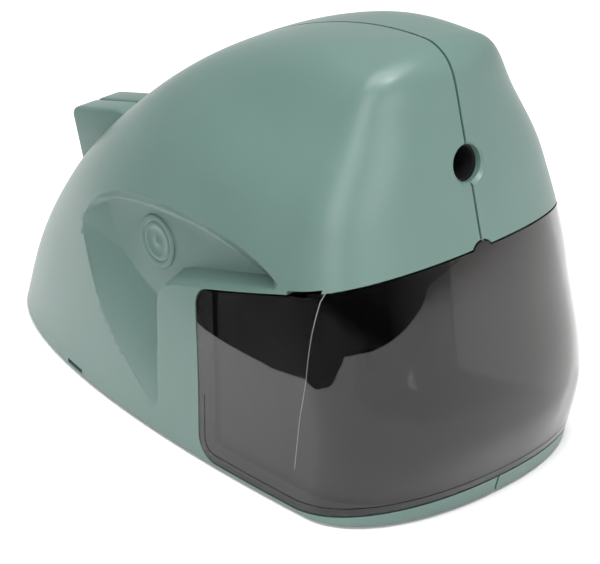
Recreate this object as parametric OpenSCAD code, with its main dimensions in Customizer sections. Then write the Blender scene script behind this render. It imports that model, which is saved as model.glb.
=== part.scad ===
// Desktop electric pencil sharpener: clamshell housing, pull-out shavings receptacle, and inside
// it a geared helical cutter turned by a small shaded-pole motor.
// Frame: origin on the table under the middle of the housing, +Z up, pencil hole facing -Y.

/* [Housing] */
// Overall length of the housing along Y
body_l = 178; // [156:1:214]
// Overall width of the housing along X
body_w = 87.5; // [80:0.5:110]
// Overall height of the housing
body_h = 115; // [105:1:140]
// Thickness of the housing wall
wall = 2.4; // [1.8:0.1:3.2]
// Height of the rubber feet below the housing
foot_gap = 1.2; // [0.6:0.1:2.5]
// Width of the groove along the joint of the two halves
seam_w = 0.6; // [0.3:0.1:1.0]
// Depth of the groove along the joint of the two halves
seam_d = 0.9; // [0.5:0.1:1.2]
// Thickness of the housing floor
floor_t = 2; // [1.6:0.1:3]

/* [Pencil entry] */
// Height of the top of the housing above the middle of the pencil hole
hole_drop = 28; // [26:0.5:32]
// Downward tilt of the pencil going in
entry_tilt = 12; // [6:1:14]
// Radius of the round opening in the housing
entry_r = 4.7; // [4.5:0.1:5.5]
// Radius at the outside of the opening's bevel
entry_bevel_r = 5.6; // [5.2:0.1:7]
// Radius of the pencil guide's bore
guide_r = 4.2; // [4:0.1:4.6]
// Wall of the pencil guide
guide_wall = 2.2; // [1.4:0.1:3]
// Length of the pencil guide
guide_l = 14.5; // [12:0.5:15]

/* [Shavings receptacle] */
// Place along Y of the receptacle's back edge
bin_back = -20.5; // [-24:0.5:-19]
// Height of the receptacle's top edge at the front of the housing
bin_top = 69.5; // [60:0.5:72]
// Slope of the top edge, falling to the back
bin_top_slope = 16.8; // [12:0.2:20]
// Height of the housing's lip under the front of the receptacle
lip_h = 6.7; // [5:0.1:9]
// Slope of the lip, which the receptacle follows as it pulls out
lip_slope = 8.4; // [6:0.2:9]
// Wall of the receptacle
bin_wall = 2; // [1.4:0.1:2.6]
// Gap round the receptacle
bin_gap = 0.5; // [0.4:0.1:1]
// Radius of the corners of the receptacle's side edge
bin_corner_r = 6; // [3:0.5:9]
// Radius of the finger tab on the top edge
tab_r = 3.4; // [2.5:0.1:5]
// Depth of the middle of the finger tab below the top edge
tab_drop = 2.2; // [0:0.1:2.4]
// Distance of the receptacle's back wall from the back edge of its sides
back_inset = 5.5; // [5:0.1:8]

/* [Side recess] */
// Depth of the middle of the recess's floor below the widest place of the housing
recess_d = 10.2; // [8:0.2:12]
// Turn of the recess's floor, which follows the housing's taper
recess_turn = 4.6; // [0:0.2:6]
// Radius of the round boss in the recess
boss_r = 7.6; // [6:0.1:9]
// Radius of the dished middle of the boss
boss_dish_r = 5.4; // [4:0.1:6]

/* [Cord wrap at the back] */
// Width of each half's horn
horn_w = 7.6; // [6:0.1:12]
// Gap between the two horns
horn_gap = 0.8; // [0.4:0.1:2]
// Radius of the round edges of the horn
horn_r = 2.6; // [1.5:0.1:3]

/* [Cutter] */
// Radius of the helical cutter
cutter_r = 4.6; // [4:0.1:5]
// Length of the helical cutter
cutter_l = 20; // [16:0.5:21]
// Lean of the cutter towards the pencil's point
cutter_lean = 11; // [9:0.5:12]
// Cutting edges round the cutter
cutter_teeth = 12; // [8:1:14]
// Radius of the cutter's axle
axle_r = 1.5; // [1.2:0.1:1.8]
// Radius of the carrier's end plates
carrier_r = 13; // [12.5:0.1:13.6]

/* [Gears] */
// Module of all the gears
gear_m = 0.8; // [0.7:0.05:0.85]
// Teeth of the fixed ring gear
ring_teeth = 36; // [36:1:38]
// Teeth of the cutter's pinion
cutter_pinion_teeth = 10; // [9:1:11]
// Teeth of the carrier's gear
carrier_gear_teeth = 40; // [36:1:42]
// Teeth of the idler's small gear
idler_small_teeth = 12; // [11:1:14]
// Teeth of the idler's large gear
idler_big_teeth = 32; // [28:1:34]
// Teeth of the motor's pinion
motor_pinion_teeth = 10; // [9:1:12]
// Width of the gears
gear_w = 4; // [3:0.5:4.5]

/* [Motor] */
// Distance of the motor's axis below the pencil's axis
motor_drop = 34; // [32:0.5:35]
// Width of the stator
stator_w = 44; // [40:1:50]
// Length of the stator and rotor stacks
stack_l = 20; // [14:1:22]
// Radius of the rotor
rotor_r = 11.5; // [9:0.5:12.5]
// Air gap between the rotor and the stator
air_gap = 0.4; // [0.3:0.1:0.6]
// Radius of the motor's shaft
shaft_r = 1.6; // [1.4:0.1:2]
// Radius of the cooling fan
fan_r = 14; // [10:0.5:16]
// Blades of the fan
fan_blades = 8; // [6:1:12]

/* [Fits] */
// Radial clearance of a running fit
run_fit = 0.08; // [0.05:0.01:0.09]
// Clearance between pieces that pass each other
pass_gap = 0.5; // [0.4:0.1:0.8]
// Shank radius of the screws
screw_r = 1.5; // [1.2:0.1:1.8]
// Head radius of the screws
screw_head_r = 3; // [2.6:0.1:3.4]

/* [Hidden] */
$fn = 48;
eps = 0.01;
far = 200;

half_l = body_l / 2;
half_w = body_w / 2;

// ---- Skin of the housing ----
// Each station is [share of the way up the skin, front, back and half width as shares of the
// half length and the half width]. The way up slows towards the crown, so the top closes round.
STATIONS = [
    [0.00, -0.940, 1.000, 0.990],
    [0.10, -1.000, 0.898, 0.990],
    [0.24, -0.925, 0.690, 1.000],
    [0.42, -0.844, 0.375, 0.890],
    [0.60, -0.786, 0.062, 0.660],
    [0.80, -0.737, -0.297, 0.460],
    [1.00, -0.640, -0.640, 0.000]
];
// Each level is widest at this share of its length, and is rounded by these powers before and
// behind that place: the first value holds at the table and the second at the crown.
WIDEST = [0.14, 0.25];
FRONT_POWER = [2.2, 2.25];
BACK_POWER = [2.15, 3.4];
skin_levels = 22;
skin_points = 52;

// Smooth curve through column k of the stations, with no overshoot.
function rise(i, k) =
    (STATIONS[i + 1][k] - STATIONS[i][k]) / (STATIONS[i + 1][0] - STATIONS[i][0]);
function tangent(i, k) =
    i == 0 ? rise(0, k) :
    i == len(STATIONS) - 1 ? rise(i - 1, k) :
    rise(i - 1, k) * rise(i, k) <= 0 ? 0 :
    2 * rise(i - 1, k) * rise(i, k) / (rise(i - 1, k) + rise(i, k));
function segment(s, i = 0) = i >= len(STATIONS) - 2 || s <= STATIONS[i + 1][0] ? i : segment(s, i + 1);
function hermite(i, k, t, h) =
    STATIONS[i][k] * (2 * t ^ 3 - 3 * t ^ 2 + 1) + tangent(i, k) * h * (t ^ 3 - 2 * t ^ 2 + t)
    + STATIONS[i + 1][k] * (3 * t ^ 2 - 2 * t ^ 3) + tangent(i + 1, k) * h * (t ^ 3 - t ^ 2);
function station(s, k) =
    let (i = segment(s), h = STATIONS[i + 1][0] - STATIONS[i][0])
    hermite(i, k, (s - STATIONS[i][0]) / h, h);

// Height at a share of the way up, and back again.
function height_at(s, inset = 0) = (body_h - inset) * (1 - (1 - s) ^ 2);
function share_at(z, inset = 0) = 1 - sqrt(1 - z / (body_h - inset));
function front_y(z) = station(share_at(z), 1) * half_l;
function back_y(z) = station(share_at(z), 2) * half_l;

function blend(pair, s) = pair[0] + (pair[1] - pair[0]) * s;
function power(v, p) = sign(v) * abs(v) ^ (2 / p);
function skin_point(s, a, inset) =
    let (
        f = station(s, 1) * (half_l - inset),
        b = station(s, 2) * (half_l - inset),
        w = station(s, 3) * (half_w - inset),
        y = f + blend(WIDEST, s) * (b - f),
        p = blend(sin(a) < 0 ? FRONT_POWER : BACK_POWER, s)
    )
    [w * power(cos(a), p), y + (sin(a) < 0 ? y - f : b - y) * power(sin(a), p), height_at(s, inset)];

// Closed solid inside the skin, moved in by inset.
module skin(inset = 0) {
    n = skin_points;
    top = skin_levels;
    points = [
        for (i = [0 : top - 1], j = [0 : n - 1]) skin_point(i / top, j * 360 / n, inset),
        [0, station(1, 1) * (half_l - inset), body_h - inset]
    ];
    sides = [
        for (i = [0 : top - 2], j = [0 : n - 1])
            let (k = (j + 1) % n)
            each [
                [i * n + j, (i + 1) * n + j, (i + 1) * n + k],
                [i * n + j, (i + 1) * n + k, i * n + k]
            ]
    ];
    crown = [for (j = [0 : n - 1]) [(top - 1) * n + j, top * n, (top - 1) * n + (j + 1) % n]];
    polyhedron(points = points, faces = concat([[for (j = [0 : n - 1]) j]], sides, crown));
}

// The skin is smooth and free-form, so what is built on it is taken as one mesh.
module as_mesh() {
    resize([0, 0, 0]) children();
}

module half_space(side) {
    translate([side > 0 ? 0 : -far, -far, -far]) cube([far, 2 * far, 2 * far]);
}

// Extrudes an outline drawn in Y and Z along X.
module along_x(x0, x1) {
    translate([x0, 0, 0]) rotate([90, 0, 90]) linear_extrude(height = x1 - x0) children();
}

module rod_x(x0, x1, r) {
    translate([x0, 0, 0]) rotate([0, 90, 0]) cylinder(r = r, h = x1 - x0);
}

// ---- Pencil axis ----
// In this frame Y runs into the machine along the pencil, and Z is square to it.
hole_z = body_h - hole_drop;
hole_y = front_y(hole_z);

module on_axis() {
    translate([0, hole_y, hole_z]) rotate([-entry_tilt, 0, 0]) children();
}

// A piece turned about the pencil axis or one beside it, from depth t0 to t1.
module at(x, h, t = 0) {
    translate([x, t, h]) rotate([-90, 0, 0]) children();
}

module disc(t0, t1, r) {
    translate([0, 0, t0]) cylinder(r = r, h = t1 - t0);
}

module plate(x0, x1, t0, t1, h0, h1) {
    translate([x0, t0, h0]) cube([x1 - x0, t1 - t0, h1 - h0]);
}

// ---- Depths along the pencil axis ----
guide_front = wall + 0.4;
front_plate_t = guide_front + guide_l;
plate_t = 3;
ring_t = front_plate_t + plate_t;
ring_w = 5;
pinion_w = 3;
pinion_t = ring_t + 0.9;
flange_t = ring_t + ring_w + 1.3;
flange_w = 2.8;
cutter_t = flange_t + flange_w + pass_gap + cutter_r * sin(cutter_lean);
rear_flange_t = cutter_t + cutter_l + 1.4;
carrier_gear_t = rear_flange_t + flange_w;
idler_big_t = carrier_gear_t + gear_w + 1;
rear_plate_t = idler_big_t + gear_w + 2;
motor_front_t = rear_plate_t + plate_t + 7;
bracket_t = 2.4;
stack_t = motor_front_t + bracket_t + 4.5;
motor_rear_t = stack_t + stack_l + 4.5;
fan_t = motor_rear_t + bracket_t + 3;
fan_w = 5;
shaft_end_t = fan_t + fan_w + 1.5;
hub_r = 5.4;
hub_bore_r = 4.35;
stub_r = 3;

// ---- Gear places ----
ring_pitch_r = gear_m * ring_teeth / 2;
orbit_r = gear_m * (ring_teeth - cutter_pinion_teeth) / 2;
mesh_gap = 0.1;
idler_to_carrier = gear_m * (carrier_gear_teeth + idler_small_teeth) / 2 + mesh_gap;
idler_to_motor = gear_m * (idler_big_teeth + motor_pinion_teeth) / 2 + mesh_gap;
idler_h = -(idler_to_carrier ^ 2 - idler_to_motor ^ 2 + motor_drop ^ 2) / (2 * motor_drop);
idler_x = sqrt(idler_to_carrier ^ 2 - idler_h ^ 2);

// Angle of the line of centres as drawn by at(), whose own Y points down the axis frame's -Z.
function mesh_angle(x, h) = atan2(-h, x);
to_carrier = mesh_angle(-idler_x, -idler_h);
to_motor = mesh_angle(-idler_x, -motor_drop - idler_h);

// Straight-sided teeth, thinned for backlash, the first one centred on angle a. A gap outline is
// what a ring gear has between its teeth, so it is wider and deeper by the same amounts.
backlash = 0.2;
addendum = 0.8;
dedendum = 1.2;
flank = 20;
function tooth_half(r, pitch_r, slack) =
    (PI * gear_m / 4 - slack / 2 - (r - pitch_r) * tan(flank)) / r * 180 / PI;
function gear_outline(n, a, gap) =
    let (
        p = n * gear_m / 2,
        tip = p + (gap ? dedendum : addendum) * gear_m,
        root = p - (gap ? addendum : dedendum) * gear_m,
        slack = gap ? -backlash : backlash
    )
    [
        for (i = [0 : n - 1], c = [[root, -1], [tip, -1], [tip, 1], [root, 1]])
            let (q = a + i * 360 / n + c[1] * tooth_half(c[0], p, slack))
            [c[0] * cos(q), c[0] * sin(q)]
    ];
module spur(n, w, a = 0, gap = false) {
    linear_extrude(height = w) polygon(gear_outline(n, a, gap));
}

// ---- Receptacle outline, drawn in Y and Z ----
function top_edge(y) = bin_top - (y + half_l) * tan(bin_top_slope);
function lip_edge(y) = lip_h - (y + half_l) * tan(lip_slope);
bin_low = foot_gap + 0.9;
lip_end = -half_l + (lip_h - bin_low) / tan(lip_slope);

module bin_side() {
    corner_y = bin_back - bin_corner_r;
    top_r = bin_corner_r * (1 / cos(bin_top_slope) - tan(bin_top_slope));
    hull() {
        polygon([[-far, lip_edge(-far)], [lip_end, bin_low], [corner_y, bin_low], [-far, top_edge(-far)]]);
        translate([corner_y, bin_low + bin_corner_r]) circle(r = bin_corner_r);
        translate([corner_y, top_edge(bin_back) - top_r]) circle(r = bin_corner_r);
    }
}

module tab_outline(grow = 0) {
    hull() {
        circle(r = tab_r + grow);
        translate([0, -2 * tab_r]) circle(r = tab_r + grow);
    }
}

// The finger tab reaches back this far from the front of the receptacle.
tab_depth = 4;
module tab_block(grow = 0) {
    y = front_y(bin_top);
    translate([0, y + tab_depth + grow, top_edge(y) - tab_drop]) rotate([90 - lip_slope, 0, 0])
        linear_extrude(height = far) tab_outline(grow);
}

bin_floor = lip_h + 0.6;
bin_floor_t = 1.8;

// The interlock plunger stands over a lug on the receptacle's left wall.
lock_x = -31.5;
lock_y = -58.5;
lock_lug = 6;
lock_lug_z = top_edge(lock_y + lock_lug / 2) - 0.6;

module shavings_receptacle() {
    color([0.2, 0.2, 0.21, 0.7]) as_mesh() {
        difference() {
            intersection() {
                skin(0);
                union() {
                    along_x(-far, far) bin_side();
                    tab_block();
                }
            }
            intersection() {
                skin(bin_wall);
                translate([-far, -far, bin_floor + bin_floor_t])
                    cube([2 * far, far + bin_back - back_inset - bin_wall, far]);
                along_x(-far, far) translate([0, 5]) bin_side();
            }
            intersection() {
                skin(bin_wall);
                translate([-far, -far, -eps]) cube([2 * far, 2 * far, bin_floor]);
            }
            intersection() {
                skin(bin_wall);
                translate([-half_w, bin_back - back_inset, bin_floor - eps]) cube([body_w, far, far]);
            }
            translate([-half_w, bin_back - back_inset, 0]) cube([body_w, far, bin_floor]);
        }
        intersection() {
            skin(bin_wall / 2);
            translate([-half_w, lock_y - lock_lug / 2, lock_lug_z - 2])
                cube([half_w + lock_x + 3, lock_lug, 2]);
        }
    }
}

// ---- Housing ----
floor_top = foot_gap + floor_t;
rail_gap = 0.2;
rail_x = 24;
rail_w = 3;
// Places in Y and Z of the bosses that join the two halves.
JOINTS = [[70, 15], [49, 50], [-26, hole_z + 13.5], [9.5, 7.2]];
joint_r = 3.8;
// Depth and height along the pencil axis of the bosses that carry the chassis.
CARRIERS = [[ring_t + 9, 0], [rear_plate_t - 5, 0]];
carrier_boss_r = 3.4;
frame_x = 20;
frame_w = 3;
// Screws stop at this distance from the middle in the left half.
screw_reach = 9;
head_seat = 14;

// The recess is a leaf with a tail. Its walls lean from these outlines on the floor of the recess
// out to those further out, drawn in Y and Z.
LEAF_FLOOR = [
    [-44, 59.5], [-30, 61.5], [-14, 63], [4, 62.8], [19, 60.3], [27, 56], [28.5, 51.5], [25, 46.5],
    [-6, 48.2], [-28, 54.2], [-42, 58.4]
];
LEAF_RIM = [
    [-51, 60.6], [-44, 64.2], [-32, 67], [-22, 67.9], [-10, 67.5], [0, 66.6], [12, 64.8], [24, 62],
    [35, 58], [43, 53], [46, 47], [44, 41], [-10, 46.8], [-31, 53.3], [-46, 58]
];
TAIL_FLOOR = [[27, 51], [25, 46.5], [19, 41.5], [12, 36.5], [5, 32.5], [1, 30], [0, 45], [-4, 48]];
TAIL_RIM = [
    [44, 45], [40, 36], [32, 27], [20, 17.5], [8, 10.8], [2, 9], [-2.6, 10.2], [-3.6, 14],
    [-3.8, 37], [-5.5, 43], [-11, 46]
];
boss_y = 5;
boss_z = 50;
boss_h = 1.4;
recess_x = half_w - recess_d;
recess_rim = 5.5;

// Frame of the recess on one side: X runs out of its floor.
module in_recess(side) {
    mirror([side > 0 ? 0 : 1, 0, 0]) translate([recess_x, 0, 0]) rotate([0, 0, recess_turn]) children();
}

// Closed smooth curve through the points of an outline.
function smooth(points, steps = 5) = [
    for (i = [0 : len(points) - 1], j = [0 : steps - 1])
        let (
            n = len(points), t = j / steps,
            a = points[(i + n - 1) % n], b = points[i], c = points[(i + 1) % n], d = points[(i + 2) % n]
        )
        b + (c - a) * t / 2 + (2 * a - 5 * b + 4 * c - d) * t ^ 2 / 2 + (3 * b - a - 3 * c + d) * t ^ 3 / 2
];

module scoop(floor, rim, grow = 0) {
    hull() {
        along_x(-grow, -grow + eps) offset(delta = grow) polygon(smooth(floor));
        along_x(recess_rim - grow, far / 4) offset(delta = grow) polygon(smooth(rim));
    }
}

module recess_cut(side) {
    in_recess(side) difference() {
        union() {
            scoop(LEAF_FLOOR, LEAF_RIM);
            scoop(TAIL_FLOOR, TAIL_RIM);
        }
        translate([0, boss_y, boss_z]) difference() {
            rod_x(-1, boss_h, boss_r);
            rod_x(boss_h - 0.7, boss_h + 1, boss_dish_r);
        }
    }
}

module recess_backing(side) {
    in_recess(side) {
        scoop(LEAF_FLOOR, LEAF_RIM, wall);
        scoop(TAIL_FLOOR, TAIL_RIM, wall);
    }
}

// Outline of the cord-wrap horn, drawn in Y and Z.
module horn_side() {
    hull() {
        polygon([[34, 42], [58, 42], [64, 45.5], [50, 65.4], [34, 65.4]]);
        translate([68 - horn_r, 61.3 - horn_r]) circle(r = horn_r);
    }
}

module horn(side) {
    mirror([side > 0 ? 1 : 0, 0, 0]) difference() {
        along_x(-horn_gap / 2 - horn_w, -horn_gap / 2) horn_side();
        skin(wall / 2);
    }
}

module bin_opening() {
    difference() {
        union() {
            along_x(-far, far) offset(delta = bin_gap) bin_side();
            tab_block(bin_gap);
        }
        intersection() {
            skin(bin_wall + 2 * bin_gap);
            translate([-far, -far, -far]) cube([2 * far, 2 * far, far + bin_floor - bin_gap]);
        }
    }
}

module housing(side) {
    difference() {
        union() {
            difference() {
                skin(0);
                intersection() {
                    skin(wall);
                    translate([-far, -far, floor_top]) cube([2 * far, 2 * far, far]);
                }
            }
            intersection() {
                skin(wall / 2);
                union() {
                    recess_backing(side);
                    for (p = JOINTS)
                        translate([0, p[0], p[1]]) rod_x(side > 0 ? 0 : -far, side > 0 ? far : 0, joint_r);
                    translate([side * rail_x - rail_w / 2, front_y(lip_h) + wall / 2, foot_gap])
                        cube([rail_w, bin_back - front_y(lip_h), bin_floor - rail_gap - foot_gap]);
                    on_axis() for (p = CARRIERS)
                        translate([0, p[0], p[1]])
                            rod_x(side > 0 ? frame_x + frame_w : -far, side > 0 ? far : -frame_x - frame_w,
                                carrier_boss_r);
                }
            }
            horn(side);
            if (side < 0) lock_shelf();
        }
        bin_opening();
        recess_cut(side);
        translate([-far, -far, -eps]) cube([2 * far, 2 * far, foot_gap + eps]);
        for (p = JOINTS)
            translate([0, p[0], p[1]]) {
                rod_x(-screw_reach - 2, far, side > 0 ? screw_r + run_fit : screw_r);
                if (side > 0) rod_x(head_seat, far, screw_head_r + run_fit);
            }
        gland_hole();
        difference() {
            cord_notch();
            skin(wall + 1);
        }
        foot_holes();
        lock_slot();
        difference() {
            translate([-seam_w / 2, -far, -far]) cube([seam_w, 2 * far, 2 * far]);
            skin(seam_d);
        }
    }
}

module housing_half(side) {
    color([0.49, 0.6, 0.56]) difference() {
        as_mesh() intersection() {
            half_space(side);
            housing(side);
        }
        on_axis() at(0, 0) {
            disc(-wall, 2 * wall, entry_r);
            translate([0, 0, -0.6]) cylinder(r1 = entry_bevel_r + 1, r2 = entry_r, h = 1.6);
        }
    }
}

module left_housing() housing_half(-1);
module right_housing() housing_half(1);

// ---- Interlock of the receptacle ----
lock_r = 1.6;
lock_slot_l = 10;
lock_slot_h = 1.5;
lock_tip_z = lock_lug_z + 0.9;
lock_body_z = lock_tip_z + 2.6;
lock_body = 8;
lock_body_h = 9;
collar_r = 2.8;
collar_h = 1.2;
spring_wire = 0.3;
spring_r = 2.2;
spring_turns = 5;

module lock_shelf() {
    intersection() {
        skin(wall / 2);
        translate([-far, lock_y - lock_body / 2, lock_body_z])
            cube([far + lock_x - lock_body / 2, lock_body, 3]);
    }
}

module lock_slot() {
    y0 = lock_y - lock_slot_l / 2;
    y1 = lock_y + lock_slot_l / 2;
    for (side = [-1, 1]) mirror([side > 0 ? 0 : 1, 0, 0])
        along_x(half_w - 2 * wall - 4, far) polygon([
            [y0, top_edge(y0) - 1], [y1, top_edge(y1) - 1],
            [y1, top_edge(y1) + lock_slot_h], [y0, top_edge(y0) + lock_slot_h]
        ]);
}

module interlock_guide() {
    color([0.1, 0.1, 0.11]) translate([lock_x, lock_y, lock_body_z]) difference() {
        translate([-lock_body / 2, -lock_body / 2, 0]) cube([lock_body, lock_body, lock_body_h]);
        translate([0, 0, -1]) cylinder(r = lock_r + run_fit, h = 4);
        translate([0, 0, 1.6]) cylinder(r = collar_r + 0.3, h = lock_body_h - 3);
    }
}

module interlock_plunger() {
    color([0.85, 0.3, 0.2]) translate([lock_x, lock_y, 0]) {
        translate([0, 0, lock_tip_z]) cylinder(r = lock_r, h = lock_body_z + 1.7 - lock_tip_z);
        translate([0, 0, lock_body_z + 1.7]) cylinder(r = collar_r, h = collar_h);
    }
}

// Coil spring along Z, from its lowest point to its highest.
module coil(r, wire, turns, h) {
    steps = 12;
    sides = 6;
    n = turns * steps;
    rise = (h - 2 * wire) / n;
    points = [
        for (i = [0 : n], j = [0 : sides - 1])
            let (a = i * 360 / steps, b = j * 360 / sides, q = r + wire * cos(b))
            [q * cos(a), q * sin(a), wire + i * rise + wire * sin(b)]
    ];
    skin_faces = [
        for (i = [0 : n - 1], j = [0 : sides - 1])
            let (k = (j + 1) % sides)
            each [
                [i * sides + j, i * sides + k, (i + 1) * sides + k],
                [i * sides + j, (i + 1) * sides + k, (i + 1) * sides + j]
            ]
    ];
    first = [for (j = [0 : sides - 1]) sides - 1 - j];
    last = [for (j = [0 : sides - 1]) n * sides + j];
    polyhedron(points = points, faces = concat([first], skin_faces, [last]));
}

module interlock_spring() {
    color([0.75, 0.76, 0.78])
        translate([lock_x, lock_y, lock_body_z + 1.7 + collar_h])
        coil(spring_r, spring_wire, spring_turns, lock_body_h - 1.4 - 1.7 - collar_h);
}

// ---- Feet, gland, weight and screws ----
foot_r = 6;
foot_plug_r = 2;
FEET = [[-26, -62], [26, -62], [-22, 52], [22, 52]];
module at_feet() {
    for (p = FEET) translate([p[0], p[1], 0]) children();
}
// Shallow notch in the lower edge of each half, for a cord led out at the side.
notch_y = 38.5;
notch_l = 7;
notch_h = 1.6;
module cord_notch() {
    translate([-far, notch_y - notch_l / 2, 0]) cube([2 * far, notch_l, foot_gap + notch_h]);
}
module foot_holes() {
    at_feet() cylinder(r = foot_plug_r, h = 3 * floor_top, center = true);
}
module rubber_feet() {
    color([0.08, 0.08, 0.08]) at_feet() cylinder(r = foot_r, h = foot_gap);
}
module foot_plugs() {
    color([0.08, 0.08, 0.08]) at_feet() translate([0, 0, foot_gap]) {
        cylinder(r = foot_plug_r, h = floor_t);
        translate([0, 0, floor_t]) cylinder(r = foot_plug_r + 0.8, h = 1);
    }
}

gland_z = 12;
gland_r = 5;
gland_bore_r = 2.6;
gland_y = back_y(gland_z) - wall - 1.2;
module gland_axis() {
    translate([0, gland_y, gland_z]) rotate([-90, 0, 0]) children();
}
module gland_hole() {
    gland_axis() translate([0, 0, -far / 4]) cylinder(r = gland_r, h = far);
}
module cord_gland() {
    color([0.07, 0.07, 0.08]) gland_axis() difference() {
        union() {
            translate([0, 0, -2.2]) cylinder(r = gland_r + 1.6, h = 2);
            translate([0, 0, -0.2]) cylinder(r = gland_r - 0.05, h = wall + 2.4);
        }
        translate([0, 0, -3]) cylinder(r = gland_bore_r, h = wall + 8);
    }
}

ballast_y0 = 15;
ballast_l = 46;
ballast_w = 36;
ballast_h = 4;
module ballast() {
    color([0.45, 0.45, 0.47]) translate([-ballast_w / 2, ballast_y0, floor_top])
        cube([ballast_w, ballast_l, ballast_h]);
}

module housing_screws() {
    color([0.7, 0.71, 0.72]) for (p = JOINTS) translate([0, p[0], p[1]]) difference() {
        union() {
            rod_x(-screw_reach, head_seat, screw_r);
            rod_x(head_seat, head_seat + 2, screw_head_r);
        }
        rod_x(head_seat + 1, head_seat + 3, 1);
    }
}

// ---- Pencil guide and its switch lever ----
guide_out_r = guide_r + guide_wall;
pivot_t = guide_front + 10.2;
pivot_h = 9.8;
pivot_r = 1;
lever_w = 4;
ear_w = 1.6;
finger_t = guide_front + 4;
finger_w = 2.4;
arm_top = 21.5;

module pencil_guide() {
    color([0.09, 0.09, 0.1]) on_axis() difference() {
        union() {
            at(0, 0) {
                disc(guide_front, front_plate_t, guide_out_r);
                disc(front_plate_t - 2, front_plate_t, guide_out_r + 3);
            }
            for (side = [-1, 1])
                translate([side * (lever_w / 2 + 0.3 + ear_w / 2) - ear_w / 2, 0, 0])
                    plate(0, ear_w, pivot_t - 2, pivot_t + 2, guide_out_r - 1.4, pivot_h + 2);
        }
        at(0, 0) disc(0, far, guide_r);
        translate([0, pivot_t, pivot_h]) rod_x(-10, 10, pivot_r);
        plate(-lever_w / 2 - 0.3, lever_w / 2 + 0.3, finger_t - 0.7, finger_t + finger_w + 0.7, 2, far);
        plate(-lever_w / 2 - 0.3, lever_w / 2 + 0.3, pivot_t - 3.2, far, guide_out_r - 0.6, far);
    }
}

module lever_pin() {
    color([0.75, 0.76, 0.78]) on_axis() translate([0, pivot_t, pivot_h])
        rod_x(-lever_w / 2 - 0.3 - ear_w, lever_w / 2 + 0.3 + ear_w, pivot_r);
}

module switch_lever() {
    color([0.88, 0.88, 0.85]) on_axis() difference() {
        union() {
            translate([0, pivot_t, pivot_h]) rod_x(-lever_w / 2, lever_w / 2, 2.2);
            plate(-lever_w / 2, lever_w / 2, finger_t, pivot_t, pivot_h - 1.1, pivot_h + 1.1);
            plate(-lever_w / 2, lever_w / 2, finger_t, finger_t + finger_w, guide_r + 0.05, pivot_h + 1.1);
            plate(-lever_w / 2, lever_w / 2, pivot_t - 1.1, pivot_t + 1.1, pivot_h, arm_top);
        }
        translate([0, pivot_t, pivot_h]) rod_x(-10, 10, pivot_r + run_fit);
    }
}

// ---- Chassis ----
plate_h = 14;
tab_h = 25.5;
tab_w = 12;
button_h = 20;
button_r = 1;
switch_l = 9;
ring_out_r = ring_pitch_r + 3.4;
spacer_r = 3.2;
bolt_x = stator_w / 2 - 3.5;
leg_w = 4;
leg_y = hole_y + rear_plate_t * cos(entry_tilt) - (motor_drop + 6) * sin(entry_tilt);
leg_l = 6;

module chassis() {
    color([0.13, 0.13, 0.14]) difference() {
        union() {
            on_axis() {
                plate(-frame_x - frame_w, frame_x + frame_w, front_plate_t, ring_t, -plate_h, plate_h);
                plate(-tab_w / 2, tab_w / 2, front_plate_t, ring_t, plate_h - 1, tab_h);
                plate(-frame_x - frame_w, frame_x + frame_w, rear_plate_t, rear_plate_t + plate_t,
                    -motor_drop - 9, plate_h);
                for (side = [-1, 1]) {
                    translate([side > 0 ? frame_x : -frame_x - frame_w, 0, 0])
                        plate(0, frame_w, front_plate_t, rear_plate_t + plate_t, -4, 4);
                    at(side * bolt_x, -motor_drop) disc(rear_plate_t, motor_front_t, spacer_r);
                }
            }
            for (side = [-1, 1])
                translate([side * 18 - leg_w / 2, leg_y, floor_top]) cube([leg_w, leg_l, 37 - floor_top]);
        }
        on_axis() {
            at(0, 0) disc(0, rear_plate_t - 1, hub_r + run_fit);
            at(0, 0) disc(0, far, stub_r + run_fit);
            translate([0, 0, button_h]) at(0, 0) disc(0, rear_plate_t - 1, button_r + 0.3);
            at(idler_x, idler_h) disc(0, far, axle_r);
            at(0, -motor_drop) disc(0, far, shaft_r + 1.4);
            for (side = [-1, 1]) {
                at(side * bolt_x, -motor_drop) disc(0, far, screw_r);
            }
        }
    }
}

module switch_body() {
    color([0.16, 0.17, 0.2]) on_axis() {
        plate(-5, 5, ring_t, ring_t + switch_l, ring_out_r + 0.4, tab_h);
        translate([0, 0, button_h]) at(0, 0) disc(front_plate_t - 1.6, ring_t + 0.5, button_r);
    }
}

// ---- Cutter head ----
module ring_gear() {
    color([0.2, 0.2, 0.21]) on_axis() at(0, 0) difference() {
        disc(ring_t, ring_t + ring_w, ring_out_r);
        translate([0, 0, ring_t - 1]) spur(ring_teeth, ring_w + 2, 0, true);
    }
}

pinion_mid = pinion_t + pinion_w / 2;
neck_r = 2.6;
carrier_hub_r = 5;
cutter_s = (cutter_t - pinion_mid) / cos(cutter_lean);
axle_end_s = (rear_flange_t + flange_w - 0.4 - pinion_mid) / cos(cutter_lean) - 0.6;

// Frame of the cutter's own axis, with Z from its pinion to the pencil's point.
module cutter_axis() {
    on_axis() at(0, 0) translate([orbit_r, 0, pinion_mid]) rotate([0, -cutter_lean, 0]) children();
}

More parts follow.
